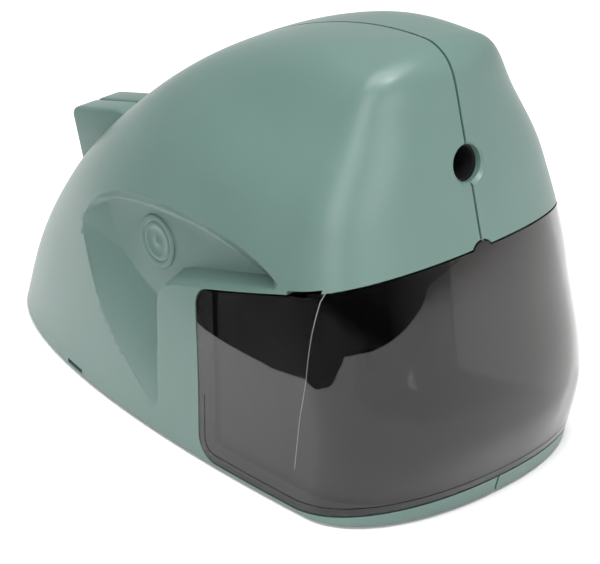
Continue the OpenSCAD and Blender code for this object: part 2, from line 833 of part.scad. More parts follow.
module cutter_carrier() {
    color([0.62, 0.63, 0.65]) difference() {
        on_axis() at(0, 0) {
            disc(front_plate_t + 0.3, flange_t + 1, hub_r);
            disc(flange_t, flange_t + flange_w, carrier_r);
            disc(rear_flange_t, rear_flange_t + flange_w, carrier_r);
            disc(carrier_gear_t - 1, idler_big_t, carrier_hub_r);
            disc(carrier_gear_t, rear_plate_t + plate_t, stub_r);
            translate([0, 0, flange_t + 1]) rotate([0, 0, 105])
                rotate_extrude(angle = 150)
                translate([carrier_r - 2.8, 0])
                square([2.4, rear_flange_t - flange_t]);
        }
        on_axis() at(0, 0) disc(0, flange_t + flange_w + 1, hub_bore_r);
        cutter_axis() {
            translate([0, 0, -4]) cylinder(r = neck_r + run_fit, h = cutter_s + 5);
            translate([0, 0, -4]) cylinder(r = axle_r, h = axle_end_s + 4);
        }
    }
}

module carrier_gear() {
    color([0.85, 0.85, 0.82]) on_axis() at(0, 0) translate([0, 0, carrier_gear_t]) difference() {
        spur(carrier_gear_teeth, gear_w, mesh_angle(idler_x, idler_h));
        disc(-1, gear_w + 1, carrier_hub_r);
        for (i = [0 : 5]) rotate([0, 0, i * 60]) translate([10, 0, -1]) cylinder(r = 2.6, h = gear_w + 2);
    }
}

module cutter_axle() {
    color([0.75, 0.76, 0.78]) cutter_axis() disc(-pinion_w / 2 - 0.6, axle_end_s, axle_r);
}

module cutter() {
    color([0.5, 0.51, 0.53]) cutter_axis() difference() {
        union() {
            disc(-pinion_w / 2, cutter_s + 1, neck_r);
            translate([0, 0, cutter_s])
                linear_extrude(height = cutter_l, twist = 200, slices = 24)
                polygon([
                    for (i = [0 : cutter_teeth - 1], c = [[1, 0], [0.8, 5], [0.82, 22]])
                        let (a = i * 360 / cutter_teeth + c[1])
                        [cutter_r * c[0] * cos(a), cutter_r * c[0] * sin(a)]
                ]);
        }
        disc(-pinion_w, cutter_s + cutter_l + 1, axle_r + run_fit);
    }
}

module cutter_pinion() {
    color([0.55, 0.5, 0.4]) cutter_axis() translate([0, 0, -pinion_w / 2]) difference() {
        spur(cutter_pinion_teeth, pinion_w);
        disc(-1, pinion_w + 1, neck_r);
    }
}

// ---- Idler ----
// Each tooth gap of the idler faces a tooth of its partner along the line of centres.
module idler_gear() {
    color([0.86, 0.84, 0.76]) on_axis() at(idler_x, idler_h) difference() {
        union() {
            translate([0, 0, carrier_gear_t - 0.3])
                spur(idler_small_teeth, gear_w + 0.9 + eps, to_carrier + 180 / idler_small_teeth);
            disc(carrier_gear_t + gear_w + 0.3, idler_big_t, 3.4);
            translate([0, 0, idler_big_t]) spur(idler_big_teeth, gear_w, to_motor + 180 / idler_big_teeth);
        }
        disc(0, far, axle_r + run_fit);
    }
}

module idler_shaft() {
    color([0.75, 0.76, 0.78]) on_axis() at(idler_x, idler_h)
        disc(carrier_gear_t - 1.5, rear_plate_t + plate_t, axle_r);
}

// ---- Motor ----
module on_motor() {
    on_axis() at(0, -motor_drop) children();
}

module motor_shaft() {
    color([0.75, 0.76, 0.78]) on_motor() disc(idler_big_t - 1, shaft_end_t, shaft_r);
}

module rotor() {
    color([0.55, 0.54, 0.52]) on_motor() difference() {
        union() {
            disc(stack_t, stack_t + stack_l, rotor_r);
            disc(stack_t - 1.6, stack_t + stack_l + 1.6, rotor_r - 1.5);
        }
        disc(0, far, shaft_r);
    }
}

module motor_pinion() {
    color([0.8, 0.7, 0.4]) on_motor() translate([0, 0, idler_big_t - 0.3]) difference() {
        spur(motor_pinion_teeth, gear_w + 0.6, to_motor + 180);
        disc(-1, gear_w + 2, shaft_r);
    }
}

module fan() {
    color([0.2, 0.2, 0.22]) on_motor() translate([0, 0, fan_t]) difference() {
        union() {
            disc(0, fan_w, 3.6);
            disc(0, 1, fan_r);
            for (i = [0 : fan_blades - 1])
                rotate([0, 0, i * 360 / fan_blades]) translate([2, -0.5, 0]) cube([fan_r - 2.4, 1, fan_w]);
        }
        disc(-1, fan_w + 1, shaft_r);
    }
}

limb_h = 8;
limb_base = -motor_drop + rotor_r + air_gap + 11.6;
window_w = 26;
window_h = 8.2;
coil_l = 21;
coil_t = 5;
bobbin_t = 1;
core_gap = 0.15;
module stator_core() {
    color([0.4, 0.41, 0.43]) on_axis() difference() {
        plate(-stator_w / 2, stator_w / 2, stack_t, stack_t + stack_l, -motor_drop - 17, limb_base + limb_h);
        at(0, -motor_drop) disc(0, far, rotor_r + air_gap);
        plate(-window_w / 2, window_w / 2, 0, far, limb_base - window_h, limb_base);
        for (side = [-1, 1]) at(side * bolt_x, -motor_drop) disc(0, far, screw_r + run_fit);
    }
}

// Box round the stator's upper limb, grown on every side but its length.
module round_limb(l, grow) {
    plate(-l / 2, l / 2, stack_t - grow, stack_t + stack_l + grow,
        limb_base - grow, limb_base + limb_h + grow);
}

module coil_bobbin() {
    color([0.9, 0.89, 0.84]) on_axis() difference() {
        union() {
            round_limb(coil_l + 2, bobbin_t + core_gap);
            for (side = [-1, 1])
                translate([side * (coil_l / 2 + 0.8), 0, 0]) round_limb(1.6, bobbin_t + coil_t + 0.6);
        }
        round_limb(far, core_gap);
    }
}

module coil_winding() {
    color([0.72, 0.36, 0.16]) on_axis() difference() {
        round_limb(coil_l, bobbin_t + core_gap + coil_t);
        round_limb(far, bobbin_t + core_gap);
    }
}

bush_r = 3.6;
module bracket(t) {
    on_axis() difference() {
        union() {
            at(0, -motor_drop) disc(t, t + bracket_t, rotor_r);
            plate(-stator_w / 2, stator_w / 2, t, t + bracket_t, -motor_drop - 4.5, -motor_drop + 4.5);
        }
        at(0, -motor_drop) disc(0, far, bush_r);
        for (side = [-1, 1]) at(side * bolt_x, -motor_drop) disc(0, far, screw_r);
    }
}

module front_bracket() {
    color([0.66, 0.67, 0.69]) bracket(motor_front_t);
}

module rear_bracket() {
    color([0.66, 0.67, 0.69]) bracket(motor_rear_t);
}

module motor_bushes() {
    color([0.7, 0.55, 0.3]) on_motor() difference() {
        for (t = [motor_front_t, motor_rear_t]) disc(t - 0.8, t + bracket_t + 0.8, bush_r);
        disc(0, far, shaft_r + run_fit);
    }
}

module motor_bolts() {
    color([0.7, 0.71, 0.72]) on_axis() for (side = [-1, 1]) at(side * bolt_x, -motor_drop) {
        disc(rear_plate_t, motor_rear_t + bracket_t, screw_r);
        disc(motor_rear_t + bracket_t, motor_rear_t + bracket_t + 2, screw_head_r);
        difference() {
            disc(motor_front_t + bracket_t, motor_rear_t, screw_r + 1.2);
            disc(stack_t - eps, stack_t + stack_l + eps, screw_r + 2);
        }
    }
}

left_housing();
right_housing();
shavings_receptacle();
pencil_guide();
chassis();
ring_gear();
cutter_carrier();
carrier_gear();
cutter_axle();
cutter();
cutter_pinion();
idler_gear();
idler_shaft();
motor_shaft();
rotor();
motor_pinion();
fan();
stator_core();
coil_bobbin();
coil_winding();
front_bracket();
rear_bracket();
motor_bushes();
motor_bolts();
switch_lever();
lever_pin();
switch_body();
interlock_plunger();
interlock_spring();
interlock_guide();
cord_gland();
rubber_feet();
foot_plugs();
ballast();
housing_screws();
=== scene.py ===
import math

import bpy
from mathutils import Matrix, Vector


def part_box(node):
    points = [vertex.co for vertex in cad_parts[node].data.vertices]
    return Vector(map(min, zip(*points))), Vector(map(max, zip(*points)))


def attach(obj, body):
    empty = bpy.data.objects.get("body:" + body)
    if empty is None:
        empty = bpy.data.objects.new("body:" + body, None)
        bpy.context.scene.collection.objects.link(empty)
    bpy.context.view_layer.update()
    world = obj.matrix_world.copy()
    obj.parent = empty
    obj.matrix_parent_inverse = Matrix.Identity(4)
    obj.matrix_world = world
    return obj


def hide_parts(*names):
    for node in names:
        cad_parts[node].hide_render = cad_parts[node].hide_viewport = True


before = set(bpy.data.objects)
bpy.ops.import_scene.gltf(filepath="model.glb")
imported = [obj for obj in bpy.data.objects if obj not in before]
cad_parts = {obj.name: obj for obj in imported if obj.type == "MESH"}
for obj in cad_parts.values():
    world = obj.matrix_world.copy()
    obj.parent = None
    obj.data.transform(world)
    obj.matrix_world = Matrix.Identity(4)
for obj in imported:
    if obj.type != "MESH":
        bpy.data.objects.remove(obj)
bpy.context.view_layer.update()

bl_info = {
    "name": "Desktop electric pencil sharpener",
    "version": (1, 0, 0),
    "blender": (4, 5, 0),
    "location": "3D View > Sidebar > Sharpener",
    "description": "Builds the shells, fittings and finishes of a desktop electric pencil sharpener",
    "category": "Add Mesh",
}

MM = 0.001

# ---- Driving sizes, in millimetres, taken from the frame where it holds them ----
HALF_L = -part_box("shavings_receptacle")[0][1] / MM
HALF_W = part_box("shavings_receptacle")[1][0] / MM
BODY_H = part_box("left_housing")[1][2] / MM
FOOT_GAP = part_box("rubber_feet")[1][2] / MM
FAR = 200

# The skin: share of the way up, then front, back and half width as shares of the half sizes.
STATIONS = [
    (0.00, -0.940, 1.000, 0.990),
    (0.10, -1.000, 0.898, 0.990),
    (0.24, -0.925, 0.690, 1.000),
    (0.42, -0.844, 0.375, 0.890),
    (0.60, -0.786, 0.062, 0.660),
    (0.80, -0.737, -0.297, 0.460),
    (1.00, -0.640, -0.640, 0.000),
]
# The front shares of a calmer skin, whose slope only grows with height. Its normals shade the
# receptacle's polished front.
CALM_FROM = (-66, -50)
CALM_FRONT = (-0.940, -1.000, -0.965, -0.885, -0.786, -0.737, -0.640)
WIDEST = (0.14, 0.25)
FRONT_POWER = (2.2, 2.25)
BACK_POWER = (2.15, 3.4)

# The side recess in Y and Z: where it meets the skin, the edge of its flat floor, and the raised
# ground round the receptacle that it stops at.
RECESS_RIM = [
    (-49.8, 60), (-48.8, 61.3), (-45.4, 63), (-37.1, 65.2), (-24.9, 66.5), (-9.7, 66), (3.8, 64.5), (11.5, 62.8),
    (19.2, 60.2), (30.2, 53.5), (35.2, 45.5), (31.4, 37.3), (25.3, 28.1), (16.1, 19.1), (6.7, 12.8),
    (0.5, 9.4), (-3.2, 9), (-25, 30), (-45, 52),
]
RECESS_FLOOR = [
    (-42, 56.8), (-38.3, 58.4), (-31.2, 60.4), (-18.7, 61.7), (-3.4, 61.4), (9.3, 59.9), (18.3, 58.1),
    (24.9, 55.8), (27.6, 51.8), (21.9, 43.4), (15.4, 38.4), (10, 35.9), (5.6, 34.2), (-6, 31), (-24, 44),
]
GROUND = [
    (-3, -20), (-2.7, 20), (-3.4, 38.7), (-4.3, 41.9), (-6.7, 44.9), (-11, 47), (-22.5, 50.4),
    (-48.1, 59.1), (-100, 76.8), (-100, -20),
]
GROUND_DEPTH = 7

# The horn of the cord wrap, in Y and Z.
HORN = [(34, 42), (58, 42), (64, 45.5), (68, 58.7), (67.2, 60.5), (65.4, 61.3), (50, 65.4), (34, 65.4)]
# Places in Y and Z of the screws that join the two halves.
SCREWS = [(70, 15), (49, 50), (-26, BODY_H - 28 + 13.5), (9.5, 7.2)]


def sizes():
    return bpy.context.scene.sharpener_sizes


def colours():
    return bpy.context.scene.sharpener_colours


def mm(value):
    return value / MM


# ---- Skin formula ----
def rise(column, i):
    return (column[i + 1] - column[i]) / (STATIONS[i + 1][0] - STATIONS[i][0])


def tangent(column, i):
    if i == 0:
        return rise(column, 0)
    if i == len(column) - 1:
        return rise(column, i - 1)
    before, after = rise(column, i - 1), rise(column, i)
    return 0 if before * after <= 0 else 2 * before * after / (before + after)


def along(column, s):
    """The value at share s of the height, on a smooth curve through the column."""
    i = 0
    while i < len(column) - 2 and s > STATIONS[i + 1][0]:
        i += 1
    h = STATIONS[i + 1][0] - STATIONS[i][0]
    t = (s - STATIONS[i][0]) / h
    return (
        column[i] * (2 * t**3 - 3 * t**2 + 1) + tangent(column, i) * h * (t**3 - 2 * t**2 + t)
        + column[i + 1] * (3 * t**2 - 2 * t**3) + tangent(column, i + 1) * h * (t**3 - t**2)
    )


def station(s, k):
    return along([row[k] for row in STATIONS], s)


def blended(pair, s):
    return pair[0] + (pair[1] - pair[0]) * s


def powered(v, p):
    return math.copysign(abs(v) ** (2 / p), v)


def skin_point(s, a, inset):
    f = station(s, 1) * (HALF_L - inset)
    b = station(s, 2) * (HALF_L - inset)
    w = station(s, 3) * (HALF_W - inset)
    y = f + blended(WIDEST, s) * (b - f)
    p = blended(FRONT_POWER if math.sin(a) < 0 else BACK_POWER, s)
    reach = y - f if math.sin(a) < 0 else b - y
    z = (BODY_H - inset) * (1 - (1 - s) ** 2)
    return w * powered(math.cos(a), p), y + reach * powered(math.sin(a), p), z


def share_at(z):
    return 1 - math.sqrt(1 - z / BODY_H)


def front_y(z):
    return station(share_at(z), 1) * HALF_L


def back_y(z):
    return station(share_at(z), 2) * HALF_L


# ---- Mesh helpers: coordinates come in millimetres ----
def new_piece(name, points, faces):
    mesh = bpy.data.meshes.new(name)
    mesh.from_pydata([Vector(p) * MM for p in points], [], faces)
    mesh.update()
    piece = bpy.data.objects.new(name, mesh)
    bpy.context.collection.objects.link(piece)
    return piece


def only(piece):
    bpy.ops.object.select_all(action="DESELECT")
    piece.select_set(True)
    bpy.context.view_layer.objects.active = piece


def in_edit_mode(piece, *steps):
    only(piece)
    bpy.ops.object.mode_set(mode="EDIT")
    bpy.ops.mesh.select_all(action="SELECT")
    for step in steps:
        step()
    bpy.ops.object.mode_set(mode="OBJECT")


def face_outwards(piece):
    in_edit_mode(piece, lambda: bpy.ops.mesh.normals_make_consistent(inside=False))
    return piece


def skin(name, inset=0, levels=110, around=240):
    points = [
        skin_point(i / levels, 2 * math.pi * j / around, inset)
        for i in range(levels) for j in range(around)
    ]
    points.append((0, station(1, 1) * (HALF_L - inset), BODY_H - inset))
    faces = [list(range(around - 1, -1, -1))]
    for i in range(levels - 1):
        for j in range(around):
            k = (j + 1) % around
            low, high = i * around, (i + 1) * around
            faces.append([low + j, low + k, high + k, high + j])
    last = (levels - 1) * around
    faces += [[last + j, last + (j + 1) % around, levels * around] for j in range(around)]
    return new_piece(name, points, faces)


def prism(name, outline, x0, x1):
    n = len(outline)
    points = [(x, y, z) for x in (x0, x1) for y, z in outline]
    faces = [list(range(n - 1, -1, -1)), list(range(n, 2 * n))]
    faces += [[j, (j + 1) % n, n + (j + 1) % n, n + j] for j in range(n)]
    return face_outwards(new_piece(name, points, faces))


def block(name, low, high):
    bpy.ops.mesh.primitive_cube_add(size=1)
    piece = bpy.context.active_object
    piece.name = name
    low, high = Vector(low) * MM, Vector(high) * MM
    piece.data.transform(Matrix.Translation((low + high) / 2) @ Matrix.Diagonal((*(high - low), 1)))
    return piece


def rod(name, start, end, r0, r1=None, around=64):
    """A straight rod or cone between two points, modelled from a primitive."""
    start, end = Vector(start) * MM, Vector(end) * MM
    r1 = r0 if r1 is None else r1
    bpy.ops.mesh.primitive_cone_add(
        vertices=around, radius1=r0 * MM, radius2=r1 * MM, depth=(end - start).length
    )
    piece = bpy.context.active_object
    piece.name = name
    turn = (end - start).to_track_quat("Z", "Y").to_matrix().to_4x4()
    piece.data.transform(Matrix.Translation((start + end) / 2) @ turn)
    return piece


def hull(name, points):
    piece = new_piece(name, points, [])
    in_edit_mode(piece, bpy.ops.mesh.convex_hull)
    return piece


def boolean(piece, operation, *tools):
    """Joins, cuts or keeps with each tool in turn, and uses the tools up."""
    for tool in tools:
        only(piece)
        step = piece.modifiers.new("step", "BOOLEAN")
        step.operation = operation
        step.solver = "MANIFOLD"
        step.object = tool
        bpy.ops.object.modifier_apply(modifier="step")
        bpy.data.objects.remove(tool)
    return piece


def cut(piece, *tools):
    return boolean(piece, "DIFFERENCE", *tools)


def join(piece, *tools):
    return boolean(piece, "UNION", *tools)


def keep(piece, *tools):
    return boolean(piece, "INTERSECT", *tools)


def copy_of(piece, name):
    twin = piece.copy()
    twin.data = piece.data.copy()
    twin.name = name
    bpy.context.collection.objects.link(twin)
    return twin


def smooth_curve(points, steps=10):
    """Closed smooth curve through the points of an outline."""
    n = len(points)
    curve = []
    for i in range(n):
        a, b, c, d = (Vector(points[(i + o) % n]) for o in (-1, 0, 1, 2))
        for j in range(steps):
            t = j / steps
            curve.append(
                b + (c - a) * t / 2 + (2 * a - 5 * b + 4 * c - d) * t**2 / 2
                + (3 * b - a - 3 * c + d) * t**3 / 2
            )
    return curve


def finish_piece(piece, body, slot, material, *nodes, angle=30):
    """Smooth shading with crisp edges, one material, and its place in the assembly."""
    only(piece)
    bpy.ops.object.shade_smooth_by_angle(angle=math.radians(angle))
    piece.data.materials.clear()
    piece.data.materials.append(material)
    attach(piece, body)
    if nodes:
        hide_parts(*nodes)
    return piece


# ---- Receptacle outline ----
def top_edge(y):
    return mm(sizes().bin_top) - (y + HALF_L) * math.tan(sizes().bin_top_slope)


def side_outline(grow=0.0):
    """The receptacle's side in Y and Z, grown all round."""
    s = sizes()
    r, back = mm(s.bin_corner), mm(s.bin_back)
    low = FOOT_GAP + 0.9
    lip, slope = s.lip_slope, s.bin_top_slope
    lip_top = mm(s.lip_height) - grow / math.cos(lip)
    lip_end = -HALF_L + (lip_top - low + grow) / math.tan(lip)
    corner_y = back - r
    top_z = top_edge(back) - r * (1 / math.cos(slope) - math.tan(slope))
    turns = [math.radians(a) for a in range(-90, 1, 6)]
    top_turns = [(math.pi / 2 - slope) * i / 14 for i in range(15)]
    outline = [(-FAR, lip_top + (FAR - HALF_L) * math.tan(lip)), (lip_end, low - grow)]
    outline += [
        (corner_y + (r + grow) * math.cos(a), low + r + (r + grow) * math.sin(a)) for a in turns
    ]
    outline += [
        (corner_y + (r + grow) * math.cos(a), top_z + (r + grow) * math.sin(a)) for a in top_turns
    ]
    outline.append((-FAR, top_edge(-FAR) + grow / math.cos(slope)))
    return outline


def tab(name, grow=0.0):
    """The finger tab's solid, led out along the way the receptacle slides."""
    s = sizes()
    r = mm(s.tab_radius)
    y = front_y(mm(s.bin_top))
    slide = Vector((0, -math.cos(s.lip_slope), math.sin(s.lip_slope)))
    up = Vector((0, math.sin(s.lip_slope), math.cos(s.lip_slope)))
    start = Vector((0, y + 4 + grow, top_edge(y) - mm(s.tab_drop)))
    points = []
    for reach in (0, 60):
        for centre in (start, start - 2 * r * up):
            for i in range(48):
                a = 2 * math.pi * i / 48
                round_point = Vector((math.cos(a), 0, 0)) + up * math.sin(a)
                points.append(centre + slide * reach + round_point * (r + grow))
    return hull(name, points)


# ---- Shading of the receptacle's front ----
def section(column, z):
    """Middle, reach to the front, half width and power of the skin's front at height z."""
    share = share_at(z)
    front, back = along(column, share) * HALF_L, station(share, 2) * HALF_L
    reach = blended(WIDEST, share) * (back - front)
    return front + reach, reach, station(share, 3) * HALF_W, blended(FRONT_POWER, share)


def front_at(column, x, z):
    middle, reach, width, power = section(column, z)
    return middle - reach * max(0, 1 - abs(x / width) ** power) ** (1 / power)


def calm_normal(x, z):
    """Normal of the calmer skin's front at a place in X and Z."""
    def level(place):
        middle, reach, width, power = section(CALM_FRONT, place.z)
        return abs(place.x / width) ** power + abs((place.y - middle) / reach) ** power

    place = Vector((x, front_at(CALM_FRONT, x, z), z))
    steps = [Vector([0.05 if i == k else 0 for i in range(3)]) for k in range(3)]
    return Vector([level(place + step) - level(place - step) for step in steps]).normalized()


def calm_front(piece):
    """Shades the piece's outer front with the calmer skin's normals."""
    mesh = piece.data
    normals = [Vector(corner.vector) for corner in mesh.corner_normals]
    real_front = [row[1] for row in STATIONS]
    found = {}
    for face in mesh.polygons:
        x, y, z = face.center / MM
        if y > CALM_FROM[1] or min(abs(front_at(real_front, x, z) - y), abs(half_width_at(y, z) - abs(x))) > 0.25:
            continue
        for corner in face.loop_indices:
            number = mesh.loops[corner].vertex_index
            if number not in found:
                x, _, z = mesh.vertices[number].co / MM
                share = min(1, (y - CALM_FROM[1]) / (CALM_FROM[0] - CALM_FROM[1]))
                found[number] = normals[corner].lerp(calm_normal(x, z), max(0, share)).normalized()
            if found[number].dot(face.normal) > 0.9:
                normals[corner] = found[number]
    mesh.normals_split_custom_set(normals)


# ---- Recess ----
def half_width_at(y, z):
    """Half width of the skin at a place in Y and Z."""
    share = share_at(z)
    front, back = station(share, 1) * HALF_L, station(share, 2) * HALF_L
    middle = front + blended(WIDEST, share) * (back - front)
    reach = middle - front if y < middle else back - middle
    power = blended(FRONT_POWER if y < middle else BACK_POWER, share)
    return station(share, 3) * HALF_W * max(0, 1 - (abs(y - middle) / reach) ** power) ** (1 / power)


def on_floor(side, x, y, z):
    """A place x out from the recess's floor, which turns a little away from the length."""
    floor_x = HALF_W - mm(sizes().recess_depth)
    turn = sizes().recess_turn
    return (side * (floor_x + x * math.cos(turn) - y * math.sin(turn)),
            x * math.sin(turn) + y * math.cos(turn), z)


def spread(outline, grow):
    """The smooth curve through an outline, moved out from its middle."""
    middle = sum((Vector(p) for p in outline), Vector((0, 0))) / len(outline)
    return [p + (p - middle).normalized() * grow for p in smooth_curve(outline, 24)]


def recess(side, grow=0.0):
    """Solid that cuts the recess: out from its floor through the skin, short of the ground."""
    points = []
    for inset, x in ((-1.5, 0), (-0.7, 0.12), (0, 0.45)):
        points += [on_floor(side, x - grow, y, z) for y, z in spread(RECESS_FLOOR, grow + inset)]
    for y, z in spread(RECESS_RIM, grow):
        points += [(side * (half_width_at(y, z) + 0.03), y, z), (side * 60, y, z)]
    ground = []
    floor_x = HALF_W - mm(sizes().recess_depth)
    for x in (-8, 40):
        lean = 1 - x / GROUND_DEPTH
        ground += [(side * (floor_x + x), y + 0.4 * lean - grow, z + 2.2 * lean - grow) for y, z in GROUND]
    return cut(hull("recess", points), hull("ground", ground))


def boss(side):
    """Low round boss on the recess's floor: a raised ring, a dished middle and a small gate mark."""
    profile = [
        (0.01, 0.62), (0.4, 0.6), (0.62, 0.3), (0.9, 0.16), (3.3, 0.1), (3.8, 0.3), (4.2, 0.44),
        (4.9, 0.44), (5.15, 0.3), (5.35, 0.16), (5.6, 0.3), (5.8, 0.5), (6.5, 0.6), (6.9, 0.52),
        (7.15, 0.3), (7.25, 0), (7.3, -1.2), (0.01, -1.2),
    ]
    around = 72
    points = []
    for r, x in profile:
        for j in range(around):
            a = 2 * math.pi * j / around
            points.append(on_floor(side, x, 4.4 + r * math.cos(a), 50.6 + r * math.sin(a)))
    faces = [list(range(around)), list(range((len(profile) - 1) * around, len(profile) * around))]
    for i in range(len(profile) - 1):
        for j in range(around):
            k = (j + 1) % around
            faces.append([i * around + j, i * around + k, (i + 1) * around + k, (i + 1) * around + j])
    return face_outwards(new_piece("boss", points, faces))


def entry_point(t, h=0.0):
    """A point on the pencil's axis, at depth t, or h above it."""
    tilt = sizes().entry_tilt
    z = BODY_H - mm(sizes().hole_drop)
    return Vector((0, front_y(z) + t * math.cos(tilt) + h * math.sin(tilt),
                   z - t * math.sin(tilt) + h * math.cos(tilt)))


def horn(side):
    gap, width = 0.4, 7.6
    piece = prism("horn", HORN, *sorted((side * gap, side * (gap + width))))
    only(piece)
    edges = piece.modifiers.new("edges", "BEVEL")
    edges.width = 1.1 * MM
    edges.segments = 4
    edges.limit_method = "ANGLE"
    bpy.ops.object.modifier_apply(modifier="edges")
    return piece


def base_under_receptacle():
    """What stays of the housing inside the receptacle's skirt."""
    piece = skin("base", 3.0)
    return keep(piece, block("low", (-FAR, -FAR, -FAR), (FAR, FAR, 7.3 - 0.5)))


def receptacle_opening():
    gap = mm(sizes().bin_gap)
    opening = prism("opening", side_outline(gap), -FAR, FAR)
    join(opening, tab("tab_room", gap))
    return cut(opening, base_under_receptacle())


def whole_housing():
    wall = mm(sizes().wall)
    body = skin("housing")
    inner = skin("inner", wall)
    cut(inner, block("floor", (-FAR, -FAR, -FAR), (FAR, FAR, FOOT_GAP + 2)))
    for side in (-1, 1):
        cut(body, recess(side))
        cut(inner, recess(side, wall))
        join(body, boss(side))
        join(body, horn(side))
    cut(body, inner, receptacle_opening())
    cut(body, block("under", (-FAR, -FAR, -5), (FAR, FAR, FOOT_GAP)))
    cut(body, rod("entry", entry_point(-20), entry_point(8), mm(sizes().entry_radius)))
    cut(body, rod("bevel", entry_point(-2.4), entry_point(0.8), 7.9, 4.6))
    for side in (-1, 1):
        y0, y1 = -63.5, -53.5
        slot = [(y0, top_edge(y0) - 1), (y1, top_edge(y1) - 1), (y1, top_edge(y1) + 1.5), (y0, top_edge(y0) + 1.5)]
        cut(body, prism("slot", slot, *sorted((side * 34, side * FAR))))
    notch = block("notch", (-FAR, 34.5, FOOT_GAP + 0.3), (FAR, 42.5, FOOT_GAP + 1.5))
    cut(body, cut(notch, skin("notch_back", wall - 0.6)))
    cut(body, rod("gland_hole", (0, 60, 12), (0, 120, 12), 5))
    for y, z in SCREWS:
        cut(body, rod("screw_well", (14, y, z), (FAR, y, z), 3.1))
    groove = block("groove", (-0.35, -FAR, -FAR), (0.35, FAR, FAR))
    cut(body, cut(groove, skin("groove_floor", 0.9)))
    return body


# ---- Materials ----
def material(name):
    m = bpy.data.materials.new(name)
    m.use_nodes = True
    shader = m.node_tree.nodes["Principled BSDF"]
    return m, m.node_tree.nodes, m.node_tree.links, shader


def noise(nodes, links, scale, detail=2.0, roughness=0.5, stretch=(1, 1, 1)):
    where = nodes.new("ShaderNodeTexCoord")
    mapping = nodes.new("ShaderNodeMapping")
    mapping.inputs["Scale"].default_value = stretch
    pattern = nodes.new("ShaderNodeTexNoise")
    pattern.inputs["Scale"].default_value = scale
    pattern.inputs["Detail"].default_value = detail
    pattern.inputs["Roughness"].default_value = roughness
    links.new(where.outputs["Object"], mapping.inputs["Vector"])
    links.new(mapping.outputs["Vector"], pattern.inputs["Vector"])
    return pattern.outputs["Fac"]


def tinted(nodes, links, fac, low, high, socket, span=(0.3, 0.7)):
    """Colours that run from low to high as the pattern does."""
    ramp = nodes.new("ShaderNodeValToRGB")
    ramp.color_ramp.elements[0].position = span[0]
    ramp.color_ramp.elements[1].position = span[1]
    ramp.color_ramp.elements[0].color = (*low, 1)
    ramp.color_ramp.elements[1].color = (*high, 1)
    links.new(fac, ramp.inputs["Fac"])
    links.new(ramp.outputs["Color"], socket)


def ranged(nodes, links, fac, low, high, socket):
    span = nodes.new("ShaderNodeMapRange")
    span.inputs["To Min"].default_value = low
    span.inputs["To Max"].default_value = high
    links.new(fac, span.inputs["Value"])
    links.new(span.outputs["Result"], socket)


def bumped(nodes, links, fac, shader, depth, strength=1.0):
    bump = nodes.new("ShaderNodeBump")
    bump.inputs["Distance"].default_value = depth * MM
    bump.inputs["Strength"].default_value = strength
    links.new(fac, bump.inputs["Height"])
    links.new(bump.outputs["Normal"], shader.inputs["Normal"])


def shaded(colour, share):
    return tuple(c * share for c in colour)


def moulded(name, colour, roughness, grain=2600, depth=0.02, drift=0.05):
    """Moulded plastic: a fine spark-eroded grain and a slow drift in colour."""
    m, nodes, links, shader = material(name)
    slow = noise(nodes, links, 22, 3)
    tinted(nodes, links, slow, shaded(colour, 1 - drift), shaded(colour, 1 + drift), shader.inputs["Base Color"])
    fine = noise(nodes, links, grain, 2)
    ranged(nodes, links, fine, roughness - 0.06, roughness + 0.06, shader.inputs["Roughness"])
    bumped(nodes, links, fine, shader, depth)
    return m


def metal(name, colour, roughness, stretch=(1, 1, 1), depth=0.006):
    """Turned, ground or stamped metal with fine tool marks."""
    m, nodes, links, shader = material(name)
    marks = noise(nodes, links, 900, 3, 0.6, stretch)
    tinted(nodes, links, marks, shaded(colour, 0.85), colour, shader.inputs["Base Color"])
    ranged(nodes, links, marks, roughness - 0.08, roughness + 0.08, shader.inputs["Roughness"])
    shader.inputs["Metallic"].default_value = 1
    bumped(nodes, links, marks, shader, depth)
    return m


def smoked(name, colour):
    """Polished smoked clear plastic with a faint moulding haze."""
    m, nodes, links, shader = material(name)
    slow = noise(nodes, links, 30, 2)
    tinted(nodes, links, slow, shaded(colour, 0.94), shaded(colour, 1.06), shader.inputs["Base Color"])
    haze = noise(nodes, links, 60, 2)
    ranged(nodes, links, haze, 0.015, 0.035, shader.inputs["Roughness"])
    shader.inputs["Transmission Weight"].default_value = 1
    shader.inputs["IOR"].default_value = 1.49
    return m


# ---- Operators ----
class SHARPENER_OT_housing(bpy.types.Operator):
    """Builds the two halves of the housing with their recess, boss, horn, seam and openings"""
    bl_idname = "sharpener.housing"
    bl_label = "Housing halves"

    def execute(self, context):
        plastic = moulded("housing_plastic", colours().housing, 0.36)
        whole = whole_housing()
        other = copy_of(whole, "housing_other")
        keep(whole, block("left_room", (-FAR, -FAR, -FAR), (0, FAR, FAR)))
        keep(other, block("right_room", (0, -FAR, -FAR), (FAR, FAR, FAR)))
        whole.name = "housing_left"
        other.name = "housing_right"
        finish_piece(whole, "base", "housing", plastic, "left_housing")
        finish_piece(other, "base", "housing", plastic, "right_housing")
        return {"FINISHED"}


